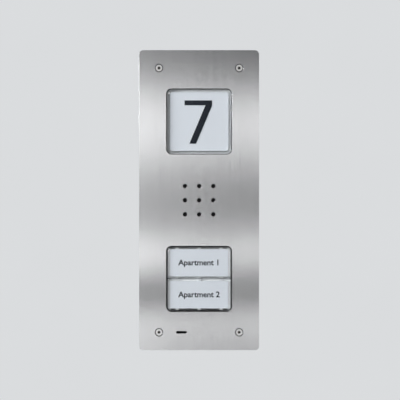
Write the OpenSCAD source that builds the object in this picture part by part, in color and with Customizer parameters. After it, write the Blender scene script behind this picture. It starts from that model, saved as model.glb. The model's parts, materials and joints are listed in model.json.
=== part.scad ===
// Flush-mounted door intercom panel: a steel front plate that carries a house-number
// window, a speech unit and two call buttons, screwed to a box set in the wall.
// X runs to the right seen from the street, Y runs into the wall, Z runs up.
// The origin is the plate's centre in the plane of the wall.

/* [Front plate] */
// Width of the front plate
plate_w = 120; // [118:1:126]
// Height of the front plate
plate_h = 300; // [298:1:310]
// Thickness of the front plate
plate_t = 3; // [2.5:0.5:4]
// Radius of the plate's corners
plate_r = 4.2; // [2:0.2:8]
// Distance between the fixing screws across the plate
screw_dx = 80.2; // [79:0.1:81]
// Distance between the fixing screws up the plate
screw_dz = 264.3; // [263:0.1:265]
// Thickness of the seal between plate and wall
gasket_t = 1.5; // [1:0.25:2]

/* [Windows] */
// Side of each square window in the plate
window_w = 66; // [65.5:0.5:67]
// Radius of the windows' corners
window_r = 5.5; // [4.5:0.5:7]
// Height of the window centres above and below the plate's centre
window_z = 78.7; // [78:0.1:80]

/* [Sound openings] */
// Diameter of a speaker hole
sound_hole_d = 4.4; // [2:0.1:6]
// Distance between speaker holes
sound_pitch = 14.15; // [8:0.05:15]
// Number of speaker holes along each side of the square
sound_count = 3; // [2:1:4]
// Sideways place of the microphone slot
mic_x = -17.7; // [-18:0.1:-16]
// Length of the microphone slot
mic_slot_l = 10.8; // [6:0.2:11]
// Height of the microphone slot
mic_slot_h = 2.4; // [1.5:0.1:3]

/* [Call buttons] */
// Travel of a call button
button_travel = 1.2; // [0.6:0.1:1.2]
// Width of a button cap
cap_w = 63.6; // [62:0.1:63.6]
// Height of a button cap
cap_h = 31.6; // [30:0.1:31.6]
// Gap between the two caps
cap_gap = 0.4; // [0.4:0.1:0.8]

/* [Speaker] */
// Diameter of the loudspeaker's flange
speaker_d = 54; // [50:1:56]
// Travel of the cone each way
cone_travel = 0.4; // [0.2:0.1:0.5]

/* [Back box] */
// Width of the box in the wall
box_w = 100; // [98:1:104]
// Height of the box in the wall
box_h = 284; // [282:1:286]
// Depth of the box behind the wall's surface
box_depth = 42; // [40:1:60]
// Wall thickness of the box
box_wall = 2; // [1.6:0.1:2]
// Distance between the wall fixing holes across the box
fixing_dx = 60; // [50:1:70]
// Distance between the wall fixing holes up the box
fixing_dz = 200; // [190:1:210]
// Height of the cable grommet's centre
grommet_z = 80; // [70:1:90]

/* [Hidden] */
$fn = 96;
eps = 0.01;

// Planes along Y, from the street into the wall
plate_back = -gasket_t;
plate_front = plate_back - plate_t;
seal_t = 0.5;
flange_y = plate_back + seal_t;      // front of what the window seals press on
ear_y = flange_y + 1.2;              // front of the modules' fixing ears
ear_t = 2.5;
ear_d = 7;
nut_t = 2.4;
nut_w = 5.5;                         // across the nut's flats
stud_l = 8;
stud_d = 3;

// Fixing screws, M3.5 with a countersunk head that a rubber cone seals in its countersink
screw_d = 3.5;
screw_hole_d = 4;
sink_d = 8.4;
head_d = 6.8;
head_y = plate_front + 0.2;
head_seal_front = plate_front + 0.1;
head_seal_back = head_y + 1;
socket_d = 2.3;
socket_lobe_d = 0.9;
socket_t = 1.5;
pin_sink = 0.6;                      // from the head's face to the top of the socket's pin
screw_l = 16;
insert_d = 5.6;
insert_l = 8;
boss_d = 10;
grip_rib = 1.2;                      // ribs round the box that hold it in the plaster
rib_t = 1.6;
fixing_hole_d = 5;
knockout_d = 21;
knockout_groove_w = 0.8;
knockout_groove_t = 1.2;
knockout_y = 20;

// Modules behind the plate
module_w = 72;
stud_x = 41;
stud_dz = 27;
housing_t = 1.6;                     // walls of the modules' housings
post_xz = module_w / 2 - 6;
post_d = 6;
board_screw_d = 2;
board_screw_head_d = 4;
pilot_d = 2.1;                       // hole that a board screw cuts its thread in
board_hole_d = 2.4;
board_t = 1.6;
led_size = [3.5, 2.8];
led_t = 1.4;

// Microphone
mic_z = -screw_dz / 2;
mic_ear = 13;
mic_boot_w = 16;
mic_boot_h = 12.6;
mic_boot_back = 7;
mic_capsule_d = 9.6;
mic_front = 1;
mic_back = 6.2;
mic_gauze_t = 0.3;

// House-number window
lens_gap = 0.8;
lens_w = window_w - 2 * lens_gap;
lens_front = plate_front + 1.3;
lens_t = 1.2;
lens_bevel = 2.2;
inlay_w = 58.8;
number_y = lens_front + lens_t;
inlay_y = number_y + 0.15;
diffuser_y = inlay_y + 0.4;
rim_t = 0.8;                         // opal rims behind the clear edges
info_board_y = 9;
info_back = 12;

// Call buttons
cap_front = plate_front + 0.3;
cap_t = 1.6;
cap_bevel = 1.4;
cap_wall = 0.8;
card_t = 0.3;
card_w = 58;
card_h = 27.4;
lug_x = 22;
card_y = cap_front + cap_t;
carrier_y = card_y + card_t;
skirt_back = carrier_y + 1.5;
stop_y = 0.6;                        // front of the carrier's stop ears
carrier_back = stop_y + 1.2;
base_y = 7.5;
base_t = 1.5;
guide_x = 24;
guide_d = 3;
guide_hole_d = guide_d + 0.16;
guide_end = base_y + base_t + 1 + button_travel;
spring_d = 4.8;
spring_wire_d = 0.5;
spring_turns = 5;
stem = [56, 24];                     // the carrier's body between its rim and its stop ears
stop_ear_w = cap_w + 3.4;
stop_ear_h = 20;
lug_w = 3.2;
plunger_y = 8.3;
plunger_d = 3.5;
switch_y = 9.6;
switch_w = 6;
light_hole = [10, 8];
switch_board_y = 13.1;
sleeve_d = 6;
cover_back = 20;
led_x = 12;
button_z = [window_z * -1 + (cap_h + cap_gap) / 2, window_z * -1 - (cap_h + cap_gap) / 2];

// Speech unit
speech_h = 78;
speech_w = 76;
web_y = 2;
web_t = 1.6;
flange_front = web_y - 1.2;          // front of the loudspeaker's flange
speech_back = 22;
speech_board_y = 19;
parts_y = speech_board_y + board_t;
speech_post = [31, 32];
basket_d = 46;
magnet_y = 11.2;
magnet_d = 30;
magnet_t = 5;
cone_edge_r = 20.5;
coil_r = 7;
coil_end = magnet_y + magnet_t - 1.3 - cone_travel;
terminal_z = -20;
terminal_pitch = 3.5;
terminal_ways = 8;
trimmer = [22, 14];

// Cable grommet
grommet_hole_d = 20;
cable_d = 8;
grommet_l = 8;

// ---- Shared shapes ----

// Rectangle with round corners, centred
module rounded(size, r) {
    square([size[0] - 2 * r, size[1]], center = true);
    square([size[0], size[1] - 2 * r], center = true);
    for (x = [-1, 1], z = [-1, 1])
        translate([x * (size[0] / 2 - r), z * (size[1] / 2 - r)]) circle(r);
}

// A flat outline in X and Z, made solid from y0 to y1
module slab(y0, y1) {
    translate([0, y1, 0]) rotate([90, 0, 0]) linear_extrude(y1 - y0) children();
}

// A round bar along Y; d2 makes it taper
module rod(at, y0, y1, d, d2 = undef) {
    translate([at[0], y0, at[1]]) rotate([-90, 0, 0])
        cylinder(h = y1 - y0, d1 = d, d2 = is_undef(d2) ? d : d2);
}

// A profile of radius and depth, turned about a Y axis
module turned(at = [0, 0]) {
    translate([at[0], 0, at[1]]) rotate([-90, 0, 0]) rotate_extrude() children();
}

// Rounded block whose front edges slope back by the bevel
module bevelled(size, r, front, back, bevel, slope) {
    hull() {
        slab(front, front + eps) rounded([size[0] - 2 * bevel, size[1] - 2 * bevel], r - bevel * 0.6);
        slab(front + slope, back) rounded(size, r);
    }
}

module at_plate_screws() {
    for (x = [-1, 1], z = [-1, 1]) translate([x * screw_dx / 2, 0, z * screw_dz / 2]) children();
}

module at_corners(dx, dz) {
    for (x = [-1, 1], z = [-1, 1]) translate([x * dx, 0, z * dz]) children();
}

// The places of every weld stud on the back of the plate
module at_studs() {
    for (level = [window_z, 0, -window_z]) translate([0, 0, level]) at_corners(stud_x, stud_dz) children();
    for (x = [-1, 1]) translate([mic_x + x * mic_ear, 0, mic_z]) children();
}

// Ears with stud holes on both sides of a module
module ears(inner_x) {
    difference() {
        slab(ear_y, ear_y + ear_t)
            for (x = [-1, 1], z = [-1, 1]) translate([x * stud_x, z * stud_dz]) {
                circle(d = ear_d);
                translate([-x * (stud_x - inner_x) / 2, 0]) square([stud_x - inner_x, ear_d], center = true);
            }
        at_corners(stud_x, stud_dz) rod([0, 0], ear_y - 1, ear_y + ear_t + 1, stud_d + 0.3);
    }
}

module window_seal() {
    slab(plate_back, flange_y) difference() {
        rounded([module_w, module_w], window_r + 1.5);
        rounded([window_w + 1.5, window_w + 1.5], window_r + 0.5);
    }
}

// Pan-head screw that goes in from the back, its head's seat at y
module pan_screw(y, length, head = board_screw_head_d) {
    head_t = 1.5;
    cross_t = 0.8;
    difference() {
        union() {
            rod([0, 0], y, y + head_t, head);
            rod([0, 0], y - length, y, board_screw_d);
        }
        for (turn = [0, 90]) translate([0, y + head_t - cross_t / 2 + 0.1, 0]) rotate([0, turn, 0])
            cube([head * 0.6, cross_t + 0.2, 0.5], center = true);
    }
}

// Coil spring along Y between two planes, swept round a helix
module coil_spring(y0, y1, mean_d, wire_d, turns) {
    steps = 16;
    sides = 6;
    count = turns * steps;
    rise = (y1 - y0 - wire_d) / count;
    points = [for (i = [0:count], k = [0:sides - 1])
        let (a = i * 360 / steps, b = k * 360 / sides, r = mean_d / 2 + wire_d / 2 * cos(b))
        [r * cos(a), y0 + wire_d / 2 + i * rise + wire_d / 2 * sin(b), r * sin(a)]];
    tube_solid(points, count + 1, sides);
}

// Closed solid over rings of points
module tube_solid(points, rings, sides) {
    walls = [for (i = [0:rings - 2], k = [0:sides - 1])
        let (a = i * sides + k, b = i * sides + (k + 1) % sides) [a, b, b + sides, a + sides]];
    start = [for (k = [sides - 1:-1:0]) k];
    end = [for (k = [0:sides - 1]) (rings - 1) * sides + k];
    polyhedron(points, concat(walls, [start, end]), convexity = 8);
}

function unit(v) = v / norm(v);

// Point on a smooth curve through the route's points
function curve_at(route, i, t) =
    let (n = len(route) - 1, p0 = route[max(i - 1, 0)], p1 = route[i],
        p2 = route[i + 1], p3 = route[min(i + 2, n)])
    0.5 * (2 * p1 + t * (p2 - p0) + t * t * (2 * p0 - 5 * p1 + 4 * p2 - p3)
        + t * t * t * (3 * p1 - 3 * p2 + p3 - p0));

// Round lead swept along a route
module lead(route, d) {
    per = 4;
    sides = 8;
    line = concat([for (i = [0:len(route) - 2], j = [0:per - 1]) curve_at(route, i, j / per)],
        [route[len(route) - 1]]);
    last = len(line) - 1;
    start = route[1] - route[0];
    end = route[len(route) - 1] - route[len(route) - 2];
    points = [for (i = [0:last])
        let (along = unit(i == 0 ? start : i == last ? end : line[i + 1] - line[i - 1]),
            across = unit(cross(along, [1, 0, 0])), up = cross(along, across))
        for (k = [0:sides - 1])
            let (a = k * 360 / sides) line[i] + d / 2 * (cos(a) * across + sin(a) * up)];
    tube_solid(points, last + 1, sides);
}

// ---- Plate and wall box ----

module front_plate() color("silver") difference() {
    slab(plate_front, plate_back) difference() {
        rounded([plate_w, plate_h], plate_r);
        for (side = [-1, 1]) translate([0, side * window_z]) rounded([window_w, window_w], window_r);
        for (i = [0:sound_count - 1], j = [0:sound_count - 1])
            translate([i - (sound_count - 1) / 2, j - (sound_count - 1) / 2] * sound_pitch)
                circle(d = sound_hole_d);
        translate([mic_x, mic_z]) rounded([mic_slot_l, mic_slot_h], mic_slot_h / 2 - eps);
    }
    at_plate_screws() {
        rod([0, 0], plate_front - 1, plate_back + 1, screw_hole_d);
        rod([0, 0], plate_front - 0.5, plate_front + (sink_d - screw_hole_d) / 2, sink_d + 1, screw_hole_d);
    }
}

module weld_studs() color("gainsboro")
    at_studs() rod([0, 0], plate_back, plate_back + stud_l, stud_d);

module stud_nuts() color("lightgray")
    at_studs() difference() {
        translate([0, ear_y + ear_t, 0]) rotate([-90, 30, 0])
            cylinder(h = nut_t, d = nut_w / cos(30), $fn = 6);
        rod([0, 0], ear_y + ear_t - 1, ear_y + ear_t + nut_t + 1, stud_d + 0.1);
    }

module wall_gasket() color("dimgray")
    slab(plate_back, 0) difference() {
        rounded([plate_w - 3, plate_h - 3], plate_r - 1.2);
        rounded([plate_w - 14, plate_h - 10], plate_r);
    }

// Countersunk screws with a six-lobed security socket round a centre pin
module plate_screws() color("whitesmoke")
    at_plate_screws() {
        difference() {
            union() {
                rod([0, 0], head_y, head_y + (head_d - screw_d) / 2, head_d, screw_d);
                rod([0, 0], head_y + 1, head_y + screw_l, screw_d);
            }
            slab(head_y - 1, head_y + socket_t) {
                circle(d = socket_d);
                for (turn = [0:60:300]) rotate(turn) translate([socket_d / 2, 0]) circle(d = socket_lobe_d);
            }
        }
        rod([0, 0], head_y + pin_sink, head_y + socket_t, socket_lobe_d);
    }

// Rubber cones that fill the gap between each screw's head and its countersink
module screw_seals() color("black")
    at_plate_screws() turned() {
        head_r = head_d / 2;
        sink_r = sink_d / 2 + plate_front;
        polygon([[head_r, head_seal_front], [sink_r - head_seal_front, head_seal_front],
            [sink_r - head_seal_back, head_seal_back], [head_r + head_y - head_seal_back, head_seal_back],
            [head_r, head_y]]);
    }

// Ring groove of a knock-out, centred on the origin and cut into a face at y
module knockout_groove(y) {
    slab(y - knockout_groove_t, y + 1) difference() {
        circle(d = knockout_d);
        circle(d = knockout_d - 2 * knockout_groove_w);
    }
}

module back_box() color("darkorange") difference() {
    union() {
        difference() {
            union() {
                slab(plate_back, box_depth) rounded([box_w, box_h], 4);
                for (y = [5, box_depth - 8])
                    slab(y, y + rib_t) rounded([box_w + 2 * grip_rib, box_h + 2 * grip_rib], 4 + grip_rib);
            }
            slab(plate_back - 1, box_depth - box_wall)
                rounded([box_w - 2 * box_wall, box_h - 2 * box_wall], 2);
        }
        at_plate_screws() rod([0, 0], plate_back, box_depth - eps, boss_d);
        for (x = [-1, 1], z = [-1, 1]) translate([x * screw_dx / 2, 0, z * screw_dz / 2]) {
            reach_x = (box_w - screw_dx) / 2 - eps;
            reach_z = (box_h - screw_dz) / 2 - eps;
            slab(plate_back + 1, box_depth - eps) {
                translate([x * reach_x / 2, 0]) square([reach_x, rib_t], center = true);
                translate([0, z * reach_z / 2]) square([rib_t, reach_z], center = true);
            }
        }
    }
    at_plate_screws() {
        rod([0, 0], plate_back - 1, plate_back + insert_l, insert_d);
        rod([0, 0], plate_back, plate_back + screw_l, screw_d + 0.5);
    }
    at_corners(fixing_dx / 2, fixing_dz / 2) rod([0, 0], box_depth - 5, box_depth + 1, fixing_hole_d);
    rod([0, grommet_z], box_depth - 5, box_depth + 1, grommet_hole_d);
    for (z = [-grommet_z, 0]) translate([0, 0, z]) knockout_groove(box_depth);
    for (side = [-1, 1]) {
        translate([0, knockout_y, side * box_h / 2]) rotate([side * 90, 0, 0]) knockout_groove(0);
        for (z = [-grommet_z, 0, grommet_z]) translate([side * box_w / 2, knockout_y, z])
            rotate([0, 0, -side * 90]) knockout_groove(0);
    }
}

module box_inserts() color("goldenrod")
    at_plate_screws() difference() {
        rod([0, 0], plate_back, plate_back + insert_l, insert_d);
        rod([0, 0], plate_back - 1, plate_back + insert_l + 1, screw_d + 0.1);
    }

module cable_grommet() color("black")
    turned([0, grommet_z]) polygon([[cable_d / 2, box_depth - grommet_l],
        [cable_d / 2 + 1.6, box_depth - grommet_l], [cable_d / 2 + 3, box_depth - box_wall - 1.6],
        [grommet_hole_d / 2 + 2.5, box_depth - box_wall - 1.6],
        [grommet_hole_d / 2 + 2.5, box_depth - box_wall], [grommet_hole_d / 2, box_depth - box_wall],
        [grommet_hole_d / 2, box_depth], [cable_d / 2, box_depth]]);

// ---- House-number window ----

module info_seal() color("dimgray") translate([0, 0, window_z]) window_seal();

module info_lens() color("aliceblue", 0.4) translate([0, 0, window_z]) difference() {
    union() {
        bevelled([lens_w, lens_w], window_r - lens_gap, lens_front, ear_y, lens_bevel, 1.1);
        slab(flange_y, ear_y) rounded([module_w - 1, module_w - 1], window_r + 1);
    }
    slab(number_y, ear_y + 1) rounded([inlay_w + 0.4, inlay_w + 0.4], 2.6);
}

// A plain figure seven
module house_number() color("black") translate([0, 0, window_z])
    slab(number_y, inlay_y) {
        left = -14.6;
        right = 13;
        top = 21.2;
        bottom = -22.2;
        bar = 4.9;
        stroke = 6.7;
        foot = -9.8;
        polygon([[left, top], [right, top], [right, top - bar - 0.4], [foot + stroke, bottom],
            [foot, bottom], [right - stroke, top - bar], [left, top - bar]]);
    }

module info_inlay() color("ghostwhite") translate([0, 0, window_z])
    slab(inlay_y, diffuser_y) rounded([inlay_w, inlay_w], 2.4);

module info_diffuser() color("white") translate([0, 0, window_z]) {
    slab(diffuser_y, ear_y + eps) rounded([inlay_w, inlay_w], 2.4);
    slab(ear_y, ear_y + rim_t) rounded([lens_w, lens_w], window_r - lens_gap);
}

module info_housing() color("darkslategray") translate([0, 0, window_z]) {
    inner_w = module_w - 2 * housing_t;
    difference() {
        union() {
            difference() {
                slab(ear_y, info_back) rounded([module_w, module_w], window_r);
                slab(ear_y + housing_t, info_back + 1) rounded([inner_w, inner_w], window_r - housing_t);
                slab(ear_y - 1, ear_y + housing_t + 1) rounded([inlay_w - 1.5, inlay_w - 1.5], 2);
                slab(ear_y - 1, ear_y + rim_t)
                    rounded([lens_w + 0.2, lens_w + 0.2], window_r - lens_gap + 0.1);
            }
            at_corners(post_xz, post_xz) rod([0, 0], ear_y + housing_t - eps, info_board_y, post_d);
        }
        at_corners(post_xz, post_xz) rod([0, 0], 3, info_board_y + 1, pilot_d);
    }
    ears(module_w / 2 - 1);
}

module info_led_board() color("forestgreen") translate([0, 0, window_z]) difference() {
    slab(info_board_y, info_board_y + board_t) rounded([module_w - 4, module_w - 4], window_r);
    at_corners(post_xz, post_xz) rod([0, 0], info_board_y - 1, info_board_y + board_t + 1, board_hole_d);
}

module info_leds() color("lightyellow") translate([0, 0, window_z])
    at_corners(led_x, led_x) slab(info_board_y - led_t, info_board_y) square(led_size, center = true);

module info_board_screws() color("silver") translate([0, 0, window_z])
    at_corners(post_xz, post_xz) pan_screw(info_board_y + board_t, 6);

// ---- Call buttons ----

module button_seal() color("dimgray") translate([0, 0, -window_z]) window_seal();

module button_frame() color("black") {
    pocket = [cap_w + 0.6, 2 * cap_h + cap_gap + 0.6];
    translate([0, 0, -window_z]) {
        difference() {
            union() {
                slab(plate_front + 1.5, flange_y)
                    rounded([window_w - 0.8, window_w - 0.8], window_r - 0.4);
                slab(flange_y, base_y) rounded([module_w, module_w], window_r + 1.5);
            }
            slab(plate_front, flange_y + 2) rounded(pocket, window_r - 1.2);
            slab(flange_y + 1.4, base_y + 1) rounded([module_w - 4.4, module_w - 5.4], 3);
        }
        ears(module_w / 2 - 1);
    }
}

// Floor behind the buttons, with sleeves that guide them
module button_base() color("dimgray") difference() {
    union() {
        translate([0, 0, -window_z]) {
            slab(base_y, base_y + base_t) rounded([module_w, module_w], window_r + 1.5);
            at_corners(post_xz, post_xz) rod([0, 0], base_y + 1, switch_board_y, post_d);
        }
        for (z = button_z, x = [-1, 1]) rod([x * guide_x, z], base_y + 1, base_y + 3.5, sleeve_d);
    }
    translate([0, 0, -window_z]) at_corners(post_xz, post_xz)
        rod([0, 0], base_y + 2, switch_board_y + 1, pilot_d);
    for (z = button_z) {
        for (x = [-1, 1]) {
            rod([x * guide_x, z], base_y - 1, base_y + 5, guide_hole_d);
            slab(base_y - 1, base_y + base_t + 1) translate([x * led_x, z]) square(light_hole, center = true);
        }
        rod([0, z], base_y - 1, base_y + base_t + 1, plunger_d + 2.9);
    }
}

module button_cover() color("dimgray") translate([0, 0, -window_z]) {
    inner_w = module_w - 2 * housing_t;
    difference() {
        union() {
            difference() {
                slab(base_y + base_t, cover_back) rounded([module_w, module_w], window_r + 1.5);
                slab(base_y, cover_back - housing_t) rounded([inner_w, inner_w], window_r - 0.1);
            }
            at_corners(post_xz, post_xz) rod([0, 0], switch_board_y + board_t, cover_back - eps, post_d);
        }
        at_corners(post_xz, post_xz) rod([0, 0], switch_board_y, cover_back + 1, board_hole_d);
        slab(cover_back - 5, cover_back + 1) translate([20, 26]) square([12, 8], center = true);
    }
}

module button_cover_screws() color("silver") translate([0, 0, -window_z])
    at_corners(post_xz, post_xz) pan_screw(cover_back, cover_back - base_y - 2.5);

// Clear cap; up is 1 for the upper button, -1 for the lower one
module button_cap(up) {
    difference() {
        hull() {
            slab(cap_front, cap_front + eps) cap_outline(up, cap_bevel);
            slab(cap_front + 1, skirt_back) cap_outline(up, 0);
        }
        slab(card_y, skirt_back + 1) cap_outline(up, cap_wall);
    }
}

// Outline of a cap, moved inwards by an inset: round at the window's corners, tight at the middle
module cap_outline(up, inset) {
    w = cap_w / 2 - inset;
    h = cap_h / 2 - inset;
    ro = window_r - 1.5 - inset * 0.6;
    ri = 1.6 - inset * 0.6;
    for (x = [-1, 1]) {
        translate([x * (w - ro), up * (h - ro)]) circle(ro);
        translate([x * (w - ri), -up * (h - ri)]) circle(ri);
        translate([x * w / 2, 0]) square([w, 2 * h - 2 * ro], center = true);
    }
    translate([0, up * h / 2]) square([2 * (w - ro), h], center = true);
    translate([0, -up * h / 2]) square([2 * (w - ri), h], center = true);
    for (x = [-1, 1]) translate([x * w / 2, -up * (h - ro + ri) / 2])
        square([w, h - ri * 3 + ro], center = true);
}

module button_card() slab(card_y, carrier_y) rounded([card_w, card_h], 1.2);

// Light guide that carries the cap, with lugs, a rim behind the cap's edge that steps back along
// the window's edge, stop ears, guide pins and the switch post
module button_carrier(up) {
    slab(carrier_y, skirt_back + eps) {
        intersection() {
            cap_outline(up, cap_wall + 0.2);
            square([cap_w, card_h], center = true);
        }
        for (x = [-lug_x, 0, lug_x]) translate([x, 0])
            square([lug_w, cap_h - 2 * cap_wall - 0.2], center = true);
    }
    slab(skirt_back, skirt_back + rim_t) difference() {
        cap_outline(up, 0.15);
        translate([0, up * cap_h / 2]) square([cap_w - 7, cap_h - card_h], center = true);
    }
    slab(skirt_back, stop_y + eps) rounded(stem, 1);
    slab(stop_y, carrier_back) {
        cap_outline(up, 0.6);
        rounded([stop_ear_w, stop_ear_h], 1);
    }
    for (x = [-1, 1]) rod([x * guide_x, 0], carrier_back - eps, guide_end, guide_d);
    rod([0, 0], carrier_back - eps, plunger_y - 0.1, 5);
}

module return_springs()
    for (x = [-1, 1]) translate([x * guide_x, 0, 0])
        coil_spring(carrier_back, base_y, spring_d, spring_wire_d, spring_turns);

module switch_body() difference() {
    slab(switch_y, switch_board_y) rounded([switch_w, switch_w], 0.6);
    rod([0, 0], switch_y - 1, switch_y + 1.4 + button_travel, plunger_d + 0.2);
}

module switch_plunger() rod([0, 0], plunger_y, switch_y + 1, plunger_d);

module upper_button_cap() color("azure", 0.45) translate([0, 0, button_z[0]]) button_cap(1);
module lower_button_cap() color("azure", 0.45) translate([0, 0, button_z[1]]) button_cap(-1);
module upper_name_card() color("ghostwhite") translate([0, 0, button_z[0]]) button_card();
module lower_name_card() color("ghostwhite") translate([0, 0, button_z[1]]) button_card();
module upper_button_carrier() color("white") translate([0, 0, button_z[0]]) button_carrier(1);
module lower_button_carrier() color("white") translate([0, 0, button_z[1]]) button_carrier(-1);
module upper_return_springs() color("silver") translate([0, 0, button_z[0]]) return_springs();
module lower_return_springs() color("silver") translate([0, 0, button_z[1]]) return_springs();
module upper_switch_body() color("dimgray") translate([0, 0, button_z[0]]) switch_body();
module lower_switch_body() color("dimgray") translate([0, 0, button_z[1]]) switch_body();
module upper_switch_plunger() color("firebrick") translate([0, 0, button_z[0]]) switch_plunger();
module lower_switch_plunger() color("firebrick") translate([0, 0, button_z[1]]) switch_plunger();

module switch_board() color("forestgreen") translate([0, 0, -window_z]) difference() {
    slab(switch_board_y, switch_board_y + board_t) rounded([module_w - 4, module_w - 4], window_r);
    at_corners(post_xz, post_xz)
        rod([0, 0], switch_board_y - 1, switch_board_y + board_t + 1, board_hole_d);
}

module button_leds() color("lightyellow")
    for (z = button_z, x = [-1, 1])
        slab(switch_board_y - led_t, switch_board_y)
            translate([x * led_x, z]) square(led_size, center = true);

// ---- Speech unit ----

module speaker_mesh() color("black")
    slab(plate_back, plate_back + 0.3) rounded([42, 42], 3);

module speaker_gasket() color("dimgray")
    slab(plate_back + 0.3, flange_front) difference() {
        circle(d = speaker_d);
        circle(d = basket_d + 4);
    }

module speaker_basket() color("lightslategray") difference() {
    turned() polygon([[basket_d / 2, flange_front], [speaker_d / 2, flange_front],
        [speaker_d / 2, web_y], [basket_d / 2 + 1, web_y], [magnet_d / 2 + 1, magnet_y],
        [coil_r + 0.5, magnet_y], [coil_r + 0.5, magnet_y - 1.2], [magnet_d / 2 - 0.5, magnet_y - 1.2],
        [basket_d / 2, web_y - 0.2]]);
    for (turn = [45:90:315]) rotate([0, turn, 0]) translate([basket_d / 2 - 4, 7, 0])
        cube([12, 4, 12], center = true);
}

module speaker_magnet() color("dimgray") difference() {
    rod([0, 0], magnet_y, magnet_y + magnet_t, magnet_d);
    rod([0, 0], magnet_y - 1, magnet_y + magnet_t + 1, 2 * coil_r + 1);
}

module speaker_yoke() color("silver") {
    rod([0, 0], magnet_y + magnet_t, magnet_y + magnet_t + 1.5, magnet_d);
    rod([0, 0], magnet_y, magnet_y + magnet_t + eps, 2 * coil_r - 1.6);
}

module speaker_cone() color("saddlebrown") {
    neck_y = 8;
    t = 0.4;
    turned() polygon([[cone_edge_r, flange_front], [cone_edge_r, flange_front + t], [coil_r, neck_y],
        [coil_r - 0.4, neck_y], [coil_r - 0.4, neck_y - t], [cone_edge_r - 1.2, flange_front]]);
    turned() polygon(concat([for (a = [0:10:90]) [(coil_r + 0.6) * sin(a), neck_y - t - 0.5 - 3 * cos(a)]],
        [for (a = [90:-10:0]) [coil_r * sin(a), neck_y - t - 2.6 * cos(a)]]));
}

module voice_coil() color("darkgoldenrod") difference() {
    rod([0, 0], 8, coil_end, 2 * coil_r);
    rod([0, 0], 7, coil_end + 1, 2 * coil_r - 0.8);
}

// Half-roll ring between the cone's edge and the basket
module speaker_surround() color("black") {
    mid = (cone_edge_r + basket_d / 2) / 2;
    half = (basket_d / 2 - cone_edge_r) / 2;
    t = 0.25;
    turned() {
        polygon(concat([for (a = [0:15:180]) [mid + half * cos(a), flange_front - half * sin(a)]],
            [for (a = [180:-15:0]) [mid + (half - t) * cos(a), flange_front - (half - t) * sin(a)]]));
        translate([basket_d / 2 - t, flange_front - t]) square([2, t]);
    }
}

module speech_housing() color("darkslategray") {
    wall = 1.8;
    inner = [speech_w - 2 * wall, speech_h - 2 * wall];
    difference() {
        union() {
            difference() {
                slab(plate_back, speech_back) rounded([speech_w, speech_h], 3);
                slab(plate_back - 1, web_y) rounded(inner, 1.5);
                slab(web_y + web_t, speech_back + 1) rounded(inner, 1.5);
            }
            at_corners(speech_post[0], speech_post[1]) rod([0, 0], web_y + web_t - eps, speech_board_y, 7);
        }
        rod([0, 0], web_y - 1, web_y + web_t + 1, basket_d + 2.4);
        at_corners(speech_post[0], speech_post[1]) rod([0, 0], web_y + 4, speech_board_y + 1, pilot_d);
    }
    ears(speech_w / 2 - 1);
}

module speech_board() color("forestgreen") difference() {
    slab(speech_board_y, parts_y) rounded([speech_w - 5, speech_h - 5], 1);
    at_corners(speech_post[0], speech_post[1]) rod([0, 0], speech_board_y - 1, parts_y + 1, 2.6);
}

module speech_board_screws() color("silver")
    at_corners(speech_post[0], speech_post[1]) pan_screw(parts_y, 7, 4.4);

// Chips, capacitors and a coil on the speech board
module board_parts() color("#303034") {
    slab(parts_y, parts_y + 1.4) {
        translate([-12, 12]) square([10, 10], center = true);
        translate([4, 22]) square([6, 9], center = true);
        translate([8, 4]) square([5, 4], center = true);
    }
    for (at = [[-27, 12], [-27, 1]]) rod(at, parts_y, parts_y + 9, 8);
    rod([-10, -4], parts_y, parts_y + 4, 9);
}

// Screw terminals for the house cable: wires go in from below, screws face the back
module terminal_block() color("seagreen") difference() {
    width = terminal_ways * terminal_pitch + 2;
    slab(parts_y, parts_y + 10) translate([0, terminal_z]) square([width, 8], center = true);
    for (i = [0:terminal_ways - 1]) {
        x = (i - (terminal_ways - 1) / 2) * terminal_pitch;
        rod([x, terminal_z], parts_y + 6, parts_y + 11, 2.9);
        translate([x, parts_y + 3, terminal_z - 3]) cube([2.6, 3, 4], center = true);
    }
}

module terminal_screws() color("lightgray")
    for (i = [0:terminal_ways - 1]) difference() {
        at = [(i - (terminal_ways - 1) / 2) * terminal_pitch, terminal_z];
        rod(at, parts_y + 6, parts_y + 8.6, 2.7);
        translate([at[0], parts_y + 8.6, at[1]]) rotate([0, 25, 0]) cube([3, 1.2, 0.5], center = true);
    }

// Volume trimmer on the back of the speech board
module trimmer_body() color("royalblue") difference() {
    slab(parts_y, parts_y + 3.6) translate(trimmer) rounded([7.4, 7.4], 0.6);
    rod(trimmer, parts_y + 1.6, parts_y + 5, 5.2);
}

module trimmer_rotor() color("white") difference() {
    rod(trimmer, parts_y + 1.8, parts_y + 3.9, 5);
    translate([trimmer[0], parts_y + 3.9, trimmer[1]]) cube([4.2, 1.6, 0.8], center = true);
}

// ---- Microphone ----

// Weave in front of the capsule
module mic_gauze() color("black") rod([mic_x, mic_z], mic_front - mic_gauze_t, mic_front, mic_capsule_d);

module mic_capsule() color("silver") rod([mic_x, mic_z], mic_front, mic_back, mic_capsule_d);

module mic_boot() color("black") difference() {
    slab(plate_back, mic_boot_back) translate([mic_x, mic_z]) rounded([mic_boot_w, mic_boot_h], 3);
    slab(plate_back - 1, mic_front) translate([mic_x, mic_z])
        rounded([mic_capsule_d - 0.6, mic_slot_h], mic_slot_h / 2 - eps);
    rod([mic_x, mic_z], mic_front - mic_gauze_t, mic_boot_back + 1, mic_capsule_d);
}

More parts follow.
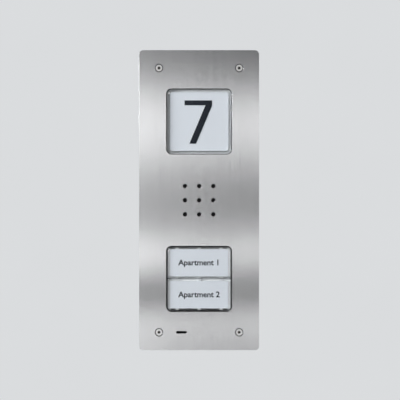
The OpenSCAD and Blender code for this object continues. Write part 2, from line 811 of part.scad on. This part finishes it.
module mic_holder() color("darkslategray") translate([mic_x, 0, mic_z]) difference() {
    union() {
        slab(ear_y, mic_boot_back + housing_t) rounded([mic_boot_w + 3.4, mic_boot_h + 2.6], 4);
        slab(ear_y, ear_y + ear_t) {
            square([2 * mic_ear, ear_d], center = true);
            for (x = [-1, 1]) translate([x * mic_ear, 0]) circle(d = ear_d);
        }
    }
    slab(ear_y - 1, mic_boot_back) rounded([mic_boot_w, mic_boot_h], 3);
    rod([0, 0], mic_back, mic_boot_back + housing_t + 1, 5);
    for (x = [-1, 1]) rod([x * mic_ear, 0], ear_y - 1, 5, stud_d + 0.3);
}

// ---- Wiring ----

lead_d = 2.2;
plug_l = 5;
plug_h = 4;
plug_info = [22, info_board_y + board_t, window_z - 22];
plug_top = [22, parts_y, 32];
plug_bottom = [22, parts_y, -32];
plug_mic = [-22, parts_y, -32];
plug_button = [20, switch_board_y + board_t, -window_z + 26];
// Each lead leaves one plug, and runs clear of the boards to the next one
function out_of(plug, y) = plug + [0, plug_l + y, 0];
info_route = [out_of(plug_info, 0), out_of(plug_info, 2), [22, 22, 54], [22, 28, 48], [22, 31, 40],
    out_of(plug_top, 3), out_of(plug_top, 0)];
button_route = [out_of(plug_bottom, 0), out_of(plug_bottom, 3), [22, 31, -38], [21, 30, -46],
    out_of(plug_button, 3), out_of(plug_button, 0)];
mic_route = [out_of(plug_mic, 0), out_of(plug_mic, 3), [-22, 31, -38], [-22, 30, -50], [-22, 28, -70],
    [-21, 27, -90], [-20, 25, -112], [-18.6, 19, -127], [mic_x, 10, mic_z], [mic_x, mic_back, mic_z]];

module lead_connectors() color("ivory")
    for (at = [plug_info, plug_top, plug_bottom, plug_mic, plug_button])
        slab(at[1], at[1] + plug_l) translate([at[0], at[2]]) square([8, plug_h], center = true);

module internal_leads() color("gray")
    for (route = [info_route, button_route, mic_route]) lead(route, lead_d);

front_plate();
weld_studs();
stud_nuts();
wall_gasket();
plate_screws();
screw_seals();
back_box();
box_inserts();
cable_grommet();
info_seal();
info_lens();
house_number();
info_inlay();
info_diffuser();
info_housing();
info_led_board();
info_leds();
info_board_screws();
button_seal();
button_frame();
button_base();
button_cover();
button_cover_screws();
upper_button_cap();
upper_name_card();
upper_button_carrier();
upper_return_springs();
upper_switch_body();
upper_switch_plunger();
lower_button_cap();
lower_name_card();
lower_button_carrier();
lower_return_springs();
lower_switch_body();
lower_switch_plunger();
switch_board();
button_leds();
speaker_mesh();
speaker_gasket();
speaker_basket();
speaker_magnet();
speaker_yoke();
speaker_cone();
voice_coil();
speaker_surround();
speech_housing();
speech_board();
speech_board_screws();
board_parts();
terminal_block();
terminal_screws();
trimmer_body();
trimmer_rotor();
mic_gauze();
mic_capsule();
mic_boot();
mic_holder();
lead_connectors();
internal_leads();
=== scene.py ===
"""Looks of the door intercom panel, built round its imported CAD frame.

Metres, +X right seen from the street, +Y into the wall, +Z up. Sizes come from the CAD nodes' own
boxes, so a piece lies where its node lies.
"""
import json
import math

import bmesh
import bpy
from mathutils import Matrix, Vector


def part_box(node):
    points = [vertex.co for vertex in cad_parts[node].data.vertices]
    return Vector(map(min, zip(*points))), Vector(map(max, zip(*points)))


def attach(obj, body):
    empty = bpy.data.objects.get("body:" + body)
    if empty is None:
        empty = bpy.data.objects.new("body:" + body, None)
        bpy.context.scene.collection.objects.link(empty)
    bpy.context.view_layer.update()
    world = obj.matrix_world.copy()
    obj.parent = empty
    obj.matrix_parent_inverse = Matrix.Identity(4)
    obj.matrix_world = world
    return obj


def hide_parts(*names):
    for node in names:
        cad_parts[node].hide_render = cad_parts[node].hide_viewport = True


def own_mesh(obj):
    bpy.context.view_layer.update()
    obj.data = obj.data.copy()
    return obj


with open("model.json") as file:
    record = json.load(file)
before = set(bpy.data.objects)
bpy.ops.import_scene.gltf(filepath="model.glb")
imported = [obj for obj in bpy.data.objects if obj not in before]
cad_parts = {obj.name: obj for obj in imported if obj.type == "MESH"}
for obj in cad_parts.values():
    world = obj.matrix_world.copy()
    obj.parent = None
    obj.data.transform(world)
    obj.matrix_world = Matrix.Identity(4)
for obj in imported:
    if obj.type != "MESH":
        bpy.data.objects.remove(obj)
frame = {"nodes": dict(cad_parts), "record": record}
NODES = frame["nodes"]
SLOT = {part["node"]: part["material_slot"] for part in frame["record"]["subparts"]}
BODY = {
    node: body for body, members in frame["record"]["behaviour"]["bodies"].items() for node in members
}
MM = 0.001
SCENE = bpy.context.scene


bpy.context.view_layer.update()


# ---- Camera ----

VIEW_DISTANCE = 1.5  # from the plate's front to the lens
VIEW_WIDTH = 0.4  # of wall seen across the picture
SENSOR = 36.0
AIM = Vector((0.9 * MM, 0, 0.15 * MM))  # the panel sits a touch left of and below the middle


def add_camera():
    data = bpy.data.cameras.new("camera")
    data.sensor_width = SENSOR
    data.lens = SENSOR * VIEW_DISTANCE / VIEW_WIDTH
    camera = bpy.data.objects.new("camera", data)
    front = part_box("front_plate")[0].y
    camera.location = (AIM.x, front - VIEW_DISTANCE, AIM.z)
    camera.rotation_euler = (math.radians(90), 0, 0)
    SCENE.collection.objects.link(camera)
    SCENE.camera = camera


# ---- Material nodes ----


class Shader:
    """A Principled material under construction, with short names for the nodes that finishes share."""

    def __init__(self, name, roughness=0.5, metallic=0.0, specular=0.5):
        self.material = bpy.data.materials.new(name)
        self.material.use_nodes = True
        self.tree = self.material.node_tree
        self.bsdf = self.tree.nodes["Principled BSDF"]
        self.bsdf.inputs["Roughness"].default_value = roughness
        self.bsdf.inputs["Metallic"].default_value = metallic
        self.bsdf.inputs["Specular IOR Level"].default_value = specular
        self.place = self.tree.nodes.new("ShaderNodeTexCoord").outputs["Object"]

    def node(self, kind, **inputs):
        made = self.tree.nodes.new(kind)
        for name, value in inputs.items():
            self.feed(made.inputs[name.replace("_", " ")], value)
        return made

    def feed(self, socket, value):
        if isinstance(value, bpy.types.NodeSocket):
            self.tree.links.new(value, socket)
        else:
            socket.default_value = value

    def stretched(self, scale):
        """Object coordinates in millimetres, stretched by a scale along each axis."""
        made = self.node("ShaderNodeMapping", Vector=self.place)
        made.inputs["Scale"].default_value = [s / MM for s in scale]
        return made.outputs["Vector"]

    def noise(self, scale, detail=2.0, roughness=0.5, at=(1, 1, 1)):
        """Noise whose grains are 1 / scale millimetres across."""
        made = self.node("ShaderNodeTexNoise", Vector=self.stretched(at), Scale=scale, Detail=detail)
        made.inputs["Roughness"].default_value = roughness
        return made.outputs["Fac"]

    def span(self, value, low, high, from_low=0.3, from_high=0.7):
        """A value brought from one range to another, held at both ends."""
        made = self.node("ShaderNodeMapRange", Value=value)
        made.inputs["From Min"].default_value = from_low
        made.inputs["From Max"].default_value = from_high
        made.inputs["To Min"].default_value = low
        made.inputs["To Max"].default_value = high
        return made.outputs["Result"]

    def ramp(self, value, stops):
        """Colours picked by a value; stops are (position, colour)."""
        made = self.node("ShaderNodeValToRGB", Fac=value)
        elements = made.color_ramp.elements
        while len(elements) < len(stops):
            elements.new(0.5)
        for element, (position, colour) in zip(elements, stops):
            element.position = position
            element.color = (*colour, 1)
        return made.outputs["Color"]

    def bump(self, height, depth, strength=1.0, under=None):
        """Surface relief, depth in millimetres."""
        made = self.node("ShaderNodeBump", Height=height)
        made.inputs["Strength"].default_value = strength
        made.inputs["Distance"].default_value = depth * MM
        if under is not None:
            self.feed(made.inputs["Normal"], under)
        return made.outputs["Normal"]

    def dim(self, clean, dark, start, end):
        """A colour that gives way to a darker one between two depths in metres: painted shade in
        recesses.
        """
        depth = self.node("ShaderNodeSeparateXYZ", Vector=self.place).outputs["Y"]
        share = self.span(depth, 0, 1, start, end)
        mixed = self.node("ShaderNodeMixRGB", Fac=share, Color1=clean, Color2=(*dark, 1))
        return mixed.outputs["Color"]

    def colour(self, value):
        self.feed(self.bsdf.inputs["Base Color"], value)
        return self

    def rough(self, value):
        self.feed(self.bsdf.inputs["Roughness"], value)
        return self

    def relief(self, value):
        self.feed(self.bsdf.inputs["Normal"], value)
        return self


def tones(base, spread):
    """A colour a little darker and a little lighter than the base."""
    return [(0.3, [c * (1 - spread) for c in base]), (0.7, [min(1, c * (1 + spread)) for c in base])]


# The dark the screws' sockets turn to with depth: painted shade, not real dirt.
SOCKET_SHADE = (0.02, 0.019, 0.018)
# The grey the light guides' rims turn to with depth: painted shade.
SHADED_OPAL = (0.2, 0.2, 0.21)


def brushed_steel():
    """Stainless sheet brushed up and down: long thin scratches, stretched highlights."""
    s = Shader("brushed_steel", roughness=0.17, metallic=1.0)
    fine = s.noise(1.0, detail=3, at=(7.0, 7.0, 0.09))
    broad = s.noise(1.0, detail=2, at=(0.6, 0.6, 0.012))
    s.colour(s.ramp(fine, tones((0.737, 0.742, 0.752), 0.05)))
    s.rough(s.span(broad, 0.163, 0.177))
    s.relief(s.bump(fine, 0.0016))
    s.bsdf.inputs["Anisotropic"].default_value = 1.0
    tangent = s.node("ShaderNodeTangent")
    tangent.direction_type = "RADIAL"
    tangent.axis = "Z"
    s.feed(s.bsdf.inputs["Tangent"], tangent.outputs["Tangent"])
    return s.material


def plain_steel(name, base, roughness):
    """Plated or turned steel with a faint unevenness."""
    s = Shader(name, roughness=roughness, metallic=1.0)
    cloud = s.noise(0.9, detail=4)
    s.colour(s.ramp(cloud, tones(base, 0.07)))
    s.rough(s.span(cloud, roughness * 0.75, roughness * 1.25))
    s.relief(s.bump(s.noise(5.0, detail=2), 0.006))
    return s.material


def screw_steel(base):
    """Turned stainless whose colour turns dark with depth into its sockets: painted shade."""
    s = Shader("screw_steel", roughness=0.42, metallic=1.0)
    cloud = s.noise(1.6, detail=4)
    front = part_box("plate_screws")[0].y
    # Painted shade: the colour darkens with depth past the head's face.
    s.colour(s.dim(s.ramp(cloud, tones(base, 0.04)), SOCKET_SHADE, front + 0.15 * MM, front + 0.5 * MM))
    s.rough(s.span(cloud, 0.36, 0.48))
    s.relief(s.bump(s.noise(5.0, detail=2), 0.004))
    return s.material


def moulded(name, base, roughness=0.5, grain=3.0, depth=0.02, spread=0.06, specular=0.5):
    """Moulded plastic or rubber with a fine spark-eroded grain."""
    s = Shader(name, roughness=roughness, specular=specular)
    grains = s.noise(grain, detail=3, roughness=0.6)
    cloud = s.noise(0.05, detail=3)
    s.colour(s.ramp(cloud, tones(base, spread)))
    s.rough(s.span(grains, roughness * 0.85, min(1, roughness * 1.15)))
    s.relief(s.bump(grains, depth))
    return s.material


def light_guide(base):
    """Opal moulding whose rim, behind the wall's surface, is coloured darker with depth: painted shade
    of the cards.
    """
    s = Shader("light_guide", roughness=0.5, specular=0.3)
    grains = s.noise(1.5, detail=3, roughness=0.6)
    opal = s.ramp(s.noise(0.05, detail=3), tones(base, 0.02))
    # Painted shade: the opal turns to a grey with depth into the rim.
    s.colour(s.dim(opal, SHADED_OPAL, 0.1 * MM, 0.5 * MM))
    s.rough(s.span(grains, 0.43, 0.57))
    s.relief(s.bump(grains, 0.006))
    return s.material


def card_stock(name, base):
    """Smooth white card with its fibres just showing."""
    s = Shader(name, roughness=0.75, specular=0.3)
    fibre = s.noise(1.0, detail=5, roughness=0.65, at=(2.2, 2.2, 5.0))
    s.colour(s.ramp(fibre, tones(base, 0.012)))
    s.relief(s.bump(fibre, 0.004))
    return s.material


def clear_plastic(name, tint):
    """Polished clear moulding that lets lamps reach the card behind it."""
    s = Shader(name, roughness=0.03, specular=0.5)
    ripple = s.noise(0.06, detail=1)
    s.colour(s.ramp(ripple, tones(tint, 0.004)))
    s.rough(s.span(s.noise(2.0, detail=3), 0.02, 0.05))
    s.relief(s.bump(ripple, 0.01))
    s.bsdf.inputs["Transmission Weight"].default_value = 1.0
    s.bsdf.inputs["IOR"].default_value = 1.49
    rays = s.node("ShaderNodeLightPath").outputs
    lamps = s.node("ShaderNodeMath")
    lamps.operation = "MAXIMUM"
    s.feed(lamps.inputs[0], rays["Is Shadow Ray"])
    s.feed(lamps.inputs[1], rays["Is Diffuse Ray"])
    through = s.node("ShaderNodeBsdfTransparent", Color=(*tint, 1))
    mixed = s.node("ShaderNodeMixShader", Fac=lamps.outputs["Value"])
    s.feed(mixed.inputs[1], s.bsdf.outputs["BSDF"])
    s.feed(mixed.inputs[2], through.outputs["BSDF"])
    s.feed(s.tree.nodes["Material Output"].inputs["Surface"], mixed.outputs["Shader"])
    return s.material


def woven(name, base):
    """Fine acoustic cloth."""
    s = Shader(name, roughness=0.9, specular=0.2)
    weave = s.node("ShaderNodeTexWave", Vector=s.stretched((1, 1, 1)), Scale=2.5, Distortion=0.6)
    s.colour(s.ramp(weave.outputs["Fac"], tones(base, 0.3)))
    s.relief(s.bump(weave.outputs["Fac"], 0.05))
    return s.material


def circuit_board(name, base):
    """Solder mask over copper tracks that run square to the board's edges."""
    s = Shader(name, roughness=0.35)
    tracks = s.node("ShaderNodeTexBrick", Vector=s.stretched((0.12, 0.12, 0.12)), Scale=1.0)
    tracks.inputs["Color1"].default_value = (*base, 1)
    tracks.inputs["Color2"].default_value = (*[c * 0.8 for c in base], 1)
    tracks.inputs["Mortar"].default_value = (*[min(1, c * 1.7) for c in base], 1)
    tracks.inputs["Mortar Size"].default_value = 0.03
    s.colour(tracks.outputs["Color"])
    s.relief(s.bump(tracks.outputs["Fac"], 0.03))
    return s.material


def make_materials():
    base = {m["slot"]: m["base_color"][:3] for m in frame["record"]["materials"]}
    made = {
        "brushed_steel": brushed_steel(),
        "plain_steel": plain_steel("plain_steel", base["plain_steel"], 0.35),
        "screw_steel": screw_steel(base["screw_steel"]),
        "spring_steel": plain_steel("spring_steel", base["spring_steel"], 0.22),
        "brass": plain_steel("brass", base["brass"], 0.3),
        "aluminium": plain_steel("aluminium", base["aluminium"], 0.35),
        "copper_wire": plain_steel("copper_wire", base["copper_wire"], 0.4),
        "clear_plastic": clear_plastic("clear_plastic", (0.97, 0.98, 0.985)),
        "white_card": card_stock("white_card", (0.82, 0.85, 0.9)),
        # moulded: name, colour, roughness, grain, depth, spread, specular
        "opal_plastic": moulded("opal_plastic", base["opal_plastic"], 0.5, 1.5, 0.006, 0.02, 0.3),
        "light_guide": light_guide(base["opal_plastic"]),
        "black_print": moulded("black_print", (0.017, 0.020, 0.027), 0.7, 2.0, 0.003, 0.1, 0.1),
        "black_fabric": woven("black_fabric", base["black_fabric"]),
        "circuit_board": circuit_board("circuit_board", base["circuit_board"]),
        "seal_rubber": moulded("seal_rubber", base["seal_rubber"], 0.9, 4.0, 0.02, 0.15, 0.15),
        "foam": moulded("foam", base["foam"], 0.95, 1.2, 0.15, 0.3, 0.1),
        "paper_cone": moulded("paper_cone", base["paper_cone"], 0.85, 1.5, 0.05, 0.2, 0.2),
    }
    for slot, colour in base.items():
        if slot not in made:
            made[slot] = moulded(slot, colour)
    return made


# ---- Pieces ----


ROUNDED = 1  # material index that marks the narrow faces of a rounded edge while a mesh is made


def welded(node):
    """A CAD node's mesh in millimetres, its flat faces whole."""
    bm = bmesh.new()
    bm.from_mesh(NODES[node].data)
    bmesh.ops.scale(bm, vec=(1 / MM,) * 3, verts=bm.verts)
    bmesh.ops.remove_doubles(bm, verts=bm.verts, dist=0.02)
    front = min(vert.co.y for vert in bm.verts)
    for vert in bm.verts:
        if vert.co.y - front < 0.02:
            vert.co.y = front
    bmesh.ops.dissolve_degenerate(bm, dist=0.005, edges=bm.edges)
    bmesh.ops.dissolve_limit(bm, angle_limit=math.radians(0.5), verts=bm.verts, edges=bm.edges)
    for face in bm.faces:
        face.material_index = 0
    return bm


def round_edges(bm, width, angle):
    """Rounds every edge that is sharper than the angle in degrees."""
    hard = [
        e for e in bm.edges if len(e.link_faces) == 2 and e.calc_face_angle() > math.radians(angle)
    ]
    made = bmesh.ops.bevel(
        bm, geom=hard, offset=width, segments=2, profile=0.5, affect="EDGES", loop_slide=False
    )
    for face in made["faces"]:
        face.material_index = ROUNDED
    bmesh.ops.triangulate(bm, faces=[f for f in bm.faces if len(f.verts) > 4])


def near_normal(vert, normal, faces, limit):
    """The mean normal at a corner of those faces that lie within the limit of a direction."""
    total = Vector()
    for face in faces:
        if face.normal.dot(normal) > limit:
            total += face.normal * face.calc_area()
    return total.normalized() if total.length > 0 else normal


def corner_normals(bm):
    """Shading in which flat faces stay flat and only the rounded edges turn from one to the next."""
    same_surface = math.cos(math.radians(20))
    within_edge = math.cos(math.radians(75))
    out = []
    for face in bm.faces:
        for vert in face.verts:
            broad = [f for f in vert.link_faces if f.material_index != ROUNDED]
            if face.material_index != ROUNDED:
                out.append(near_normal(vert, face.normal, broad, same_surface))
            elif broad:
                closest = max(broad, key=lambda f: f.normal.dot(face.normal))
                out.append(near_normal(vert, closest.normal, broad, same_surface))
            else:
                out.append(near_normal(vert, face.normal, vert.link_faces, within_edge))
    return out


def finished(node, width, angle, inward=None):
    """A copy of a CAD node with its hard edges rounded, which is shown in the node's place.

    inward is (y, move) in mm: the faces at that depth step towards the street by the move.
    """
    bm = welded(node)
    if inward:
        for vert in bm.verts:
            if abs(vert.co.y - inward[0]) < 0.03:
                vert.co.y -= inward[1]
    round_edges(bm, width, angle)
    bm.normal_update()
    normals = corner_normals(bm)
    for face in bm.faces:
        face.material_index = 0
        face.smooth = True
    bmesh.ops.scale(bm, vec=(MM,) * 3, verts=bm.verts)
    mesh = bpy.data.meshes.new(node + "_finish")
    bm.to_mesh(mesh)
    bm.free()
    mesh.normals_split_custom_set(normals)
    piece = bpy.data.objects.new(node + "_finish", mesh)
    SCENE.collection.objects.link(piece)
    dress(piece, SLOT[node])
    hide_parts(node)
    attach(piece, BODY[node])
    return piece


def dress(piece, slot):
    piece.data.materials.clear()
    piece.data.materials.append(MATERIALS[slot])


def meshed(data, name, slot):
    """A piece with the mesh of a curve or of lettering."""
    curve = bpy.data.objects.new(name + "_curve", data)
    SCENE.collection.objects.link(curve)
    bpy.context.view_layer.update()
    mesh = bpy.data.meshes.new_from_object(curve.evaluated_get(bpy.context.evaluated_depsgraph_get()))
    bpy.data.objects.remove(curve)
    piece = bpy.data.objects.new(name, mesh)
    SCENE.collection.objects.link(piece)
    dress(piece, slot)
    return piece


def name_text(label, node):
    """A resident's card: generic lettering printed on the card's front."""
    low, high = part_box(node)
    data = bpy.data.curves.new(node + "_text", "FONT")
    data.body = label
    data.align_x = "CENTER"
    data.align_y = "CENTER"
    data.size = 8.0 * MM
    data.offset = 0.18 * MM
    data.extrude = 0.01 * MM
    data.resolution_u = 6
    piece = meshed(data, node + "_text", "black_print")
    middle = (low + high) / 2
    piece.rotation_euler = (math.radians(90), 0, 0)
    piece.location = (middle.x, low.y - 0.02 * MM, middle.z)
    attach(piece, BODY[node])


COIL_WIRE = 0.5 * MM
COIL_TURNS = 5
TURN_STEPS = 24
END_SHARE = 0.5  # how much closer the turns lie at a coil's ends


def return_springs(side):
    """The two coil springs behind a call button, closer wound at their ends."""
    node = side + "_return_springs"
    low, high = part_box(node)
    outer = (high.z - low.z) / 2
    radius = outer - COIL_WIRE / 2
    steps = TURN_STEPS * COIL_TURNS
    data = bpy.data.curves.new(node + "_wire", "CURVE")
    data.dimensions = "3D"
    data.bevel_depth = COIL_WIRE / 2
    data.bevel_resolution = 3
    data.use_fill_caps = True
    for x in (low.x + outer, high.x - outer):
        line = data.splines.new("POLY")
        line.points.add(steps)
        for i, point in enumerate(line.points):
            turn = math.tau * i / TURN_STEPS
            share = i / steps
            rise = share - END_SHARE * math.sin(math.tau * share) / math.tau
            y = low.y + COIL_WIRE / 2 + rise * (high.y - low.y - COIL_WIRE)
            point.co = (x + radius * math.cos(turn), y, low.z + outer + radius * math.sin(turn), 1)
    piece = meshed(data, node + "_wire", SLOT[node])
    piece.data.shade_smooth()
    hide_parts(node)
    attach(piece, BODY[node])
    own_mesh(piece)


# Rounding of each node's edges: its width in mm, and how many degrees an edge turns at least
EDGES = {
    "front_plate": (0.08, 60),
    "back_box": (0.3, 30),
    "wall_gasket": (0.25, 30),
    "cable_grommet": (0.3, 30),
    "plate_screws": (0.08, 30),
    "button_frame": (0.15, 30),
}
CLEAR_EDGE = (0.12, 20)
PRINT_GAP = 0.1  # between a clear piece and the print behind it
LABELS = {"upper": "Apartment 1", "lower": "Apartment 2"}


def build_pieces():
    for node, obj in NODES.items():
        dress(obj, SLOT[node])
    for node, edge in EDGES.items():
        finished(node, *edge)
    finished("info_lens", *CLEAR_EDGE, inward=(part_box("house_number")[0].y / MM, PRINT_GAP))
    for side, label in LABELS.items():
        card = side + "_name_card"
        finished(side + "_button_cap", *CLEAR_EDGE, inward=(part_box(card)[0].y / MM, PRINT_GAP))
        name_text(label, card)
        dress(NODES[side + "_button_carrier"], "light_guide")
        return_springs(side)


# ---- Studio ----

FLOOR = -0.75
BOWL_RADIUS = 4.0
COVE = 0.8
RIM = 2.0
PAPER = (0.701, 0.716, 0.730)  # a backdrop lit through from behind


def studio_bowl():
    """Pale floor that curves up into an even backdrop all round."""
    steps = 12
    profile = [(0.0, FLOOR), (BOWL_RADIUS - COVE, FLOOR)]
    for i in range(1, steps + 1):
        a = math.pi / 2 * i / steps
        profile.append((BOWL_RADIUS - COVE + COVE * math.sin(a), FLOOR + COVE - COVE * math.cos(a)))
    profile.append((BOWL_RADIUS, RIM))
    bm = bmesh.new()
    verts = [bm.verts.new((r, 0, z)) for r, z in profile]
    edges = [bm.edges.new(pair) for pair in zip(verts, verts[1:])]
    bmesh.ops.spin(
        bm, geom=verts + edges, cent=(0, 0, 0), axis=(0, 0, 1), angle=math.tau, steps=96, use_merge=True
    )
    bmesh.ops.remove_doubles(bm, verts=bm.verts, dist=1e-5)
    mesh = bpy.data.meshes.new("studio_bowl")
    bm.to_mesh(mesh)
    bm.free()
    mesh.shade_smooth()
    bowl = bpy.data.objects.new("studio_bowl", mesh)
    SCENE.collection.objects.link(bowl)
    paper = Shader("studio_paper", roughness=0.9, specular=0.0)
    grain = paper.noise(0.004, detail=3)
    paper.colour((0, 0, 0, 1))
    paper.feed(paper.bsdf.inputs["Emission Color"], paper.ramp(grain, tones(PAPER, 0.004)))
    paper.bsdf.inputs["Emission Strength"].default_value = 1.0
    bowl.data.materials.append(paper.material)
    bowl.visible_diffuse = False
    bowl.visible_shadow = False


def softbox(name, place, size, radiance):
    """A square area light that faces the panel; radiance is how bright its face is."""
    data = bpy.data.lights.new(name, "AREA")
    data.shape = "SQUARE"
    data.size = size
    data.energy = radiance * math.pi * size * size
    light = bpy.data.objects.new(name, data)
    SCENE.collection.objects.link(light)
    light.location = place
    light.rotation_euler = (-Vector(place)).to_track_quat("-Z", "Y").to_euler()
    light.visible_camera = False


AMBIENT = 0.22
# Lamps: name, place, size and radiance. The fills stand behind the plate's face, off the front.
LAMPS = (
    ("key", (-2.0, -1.7, 1.2), 0.9, 20.0),
    ("rake", (-2.8, -1.0, 0.7), 1.0, 27.0),
    ("side_fill", (2.7, 0.7, 1.2), 1.6, 8.0),
    ("back_fill", (-1.6, 2.6, 1.5), 1.8, 6.0),
    ("low_fill", (1.2, 1.6, -0.6), 1.2, 2.0),
)
CARD_Y = -2.9
FELT_Y = CARD_Y - 0.05  # a dark card behind the lit ones
FELT_HALF_WIDTH = 2.6
FELT_REACH = 1.6
CARD_REACH = 0.62  # of the lit cards above and below the panel's middle
GLOW_GAP = 0.34  # half the dark gap between the lit cards, which is what the clear windows mirror
# The cards' glow, picked up by the brushed steel as level bands:
# (height on the plate in mm, glow of the left card, glow of the right card)
GLOW = (
    (-152, 1.9, 0.7),
    (-135, 2.4, 1.4),
    (-122, 2.6, 2.0),
    (-114, 2.5, 2.6),
    (-106, 0.0, 0.0),
    (-85, 0.0, 0.0),
    (-72, 2.7, 0.7),
    (-50, 3.4, 2.6),
    (-36, 1.9, 1.1),
    (-25, 1.1, 0.5),
    (0, 1.2, 0.3),
    (25, 1.5, 0.6),
    (50, 2.4, 1.4),
    (75, 2.7, 2.1),
    (98, 2.5, 1.6),
    (115, 1.7, 0.6),
    (128, 1.0, 0.2),
    (152, 0.6, 0.0),
)
BRIGHTEST = 4.0
LIT_CARDS = {"left": (-1.8, -GLOW_GAP), "right": (GLOW_GAP, 1.5)}  # from x to x


def card(name, x0, x1, y, reach, shader):
    """An upright card behind the camera, out of its sight."""
    bm = bmesh.new()
    for x, z in ((x0, -reach), (x1, -reach), (x1, reach), (x0, reach)):
        bm.verts.new((x, y, z))
    bm.faces.new(bm.verts)
    mesh = bpy.data.meshes.new(name)
    bm.to_mesh(mesh)
    bm.free()
    made = bpy.data.objects.new(name, mesh)
    SCENE.collection.objects.link(made)
    made.data.materials.append(shader.material)
    made.visible_camera = False


def glow(name, levels):
    """Light that changes with height; each band's place on the card is where the plate mirrors it."""
    s = Shader(name)
    height = s.node("ShaderNodeSeparateXYZ", Vector=s.place).outputs["Z"]
    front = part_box("front_plate")[0].y
    spread = 1 + (front - CARD_Y) / VIEW_DISTANCE
    low, high = levels[0][0], levels[-1][0]
    share = s.span(height, 0, 1, low * MM * spread, high * MM * spread)
    stops = [((z - low) / (high - low), (level / BRIGHTEST,) * 3) for z, level in levels]
    tone = s.ramp(share, stops)
    tone.node.color_ramp.interpolation = "EASE"
    lamp = s.node("ShaderNodeEmission", Color=tone, Strength=BRIGHTEST)
    s.feed(s.tree.nodes["Material Output"].inputs["Surface"], lamp.outputs["Emission"])
    return s


def ambient():
    """Soft light from all round: brighter from above, dimmer from below."""
    world = bpy.data.worlds.new("studio")
    SCENE.world = world
    world.use_nodes = True
    nodes, links = world.node_tree.nodes, world.node_tree.links
    height = nodes.new("ShaderNodeSeparateXYZ")
    ramp = nodes.new("ShaderNodeValToRGB")
    links.new(nodes.new("ShaderNodeTexCoord").outputs["Generated"], height.inputs["Vector"])
    links.new(height.outputs["Z"], ramp.inputs["Fac"])
    low, high = ramp.color_ramp.elements
    low.color, high.color = (0.5, 0.5, 0.51, 1), (1, 1, 1, 1)
    links.new(ramp.outputs["Color"], nodes["Background"].inputs["Color"])
    nodes["Background"].inputs["Strength"].default_value = AMBIENT


def light_studio():
    ambient()
    felt = Shader("felt", roughness=0.95, specular=0.1)
    felt.colour(felt.ramp(felt.noise(0.5), tones((0.03, 0.03, 0.035), 0.1)))
    card("felt_card", -FELT_HALF_WIDTH, FELT_HALF_WIDTH, FELT_Y, FELT_REACH, felt)
    for i, (side, (x0, x1)) in enumerate(LIT_CARDS.items()):
        levels = [(row[0], row[1 + i]) for row in GLOW]
        card(f"lit_card_{side}", x0, x1, CARD_Y, CARD_REACH, glow(f"glow_{side}", levels))
    for name, place, size, radiance in LAMPS:
        softbox(name, place, size, radiance)


add_camera()
MATERIALS = make_materials()
build_pieces()
studio_bowl()
light_studio()
SCENE.view_settings.view_transform = "Standard"
SCENE.view_settings.look = "None"
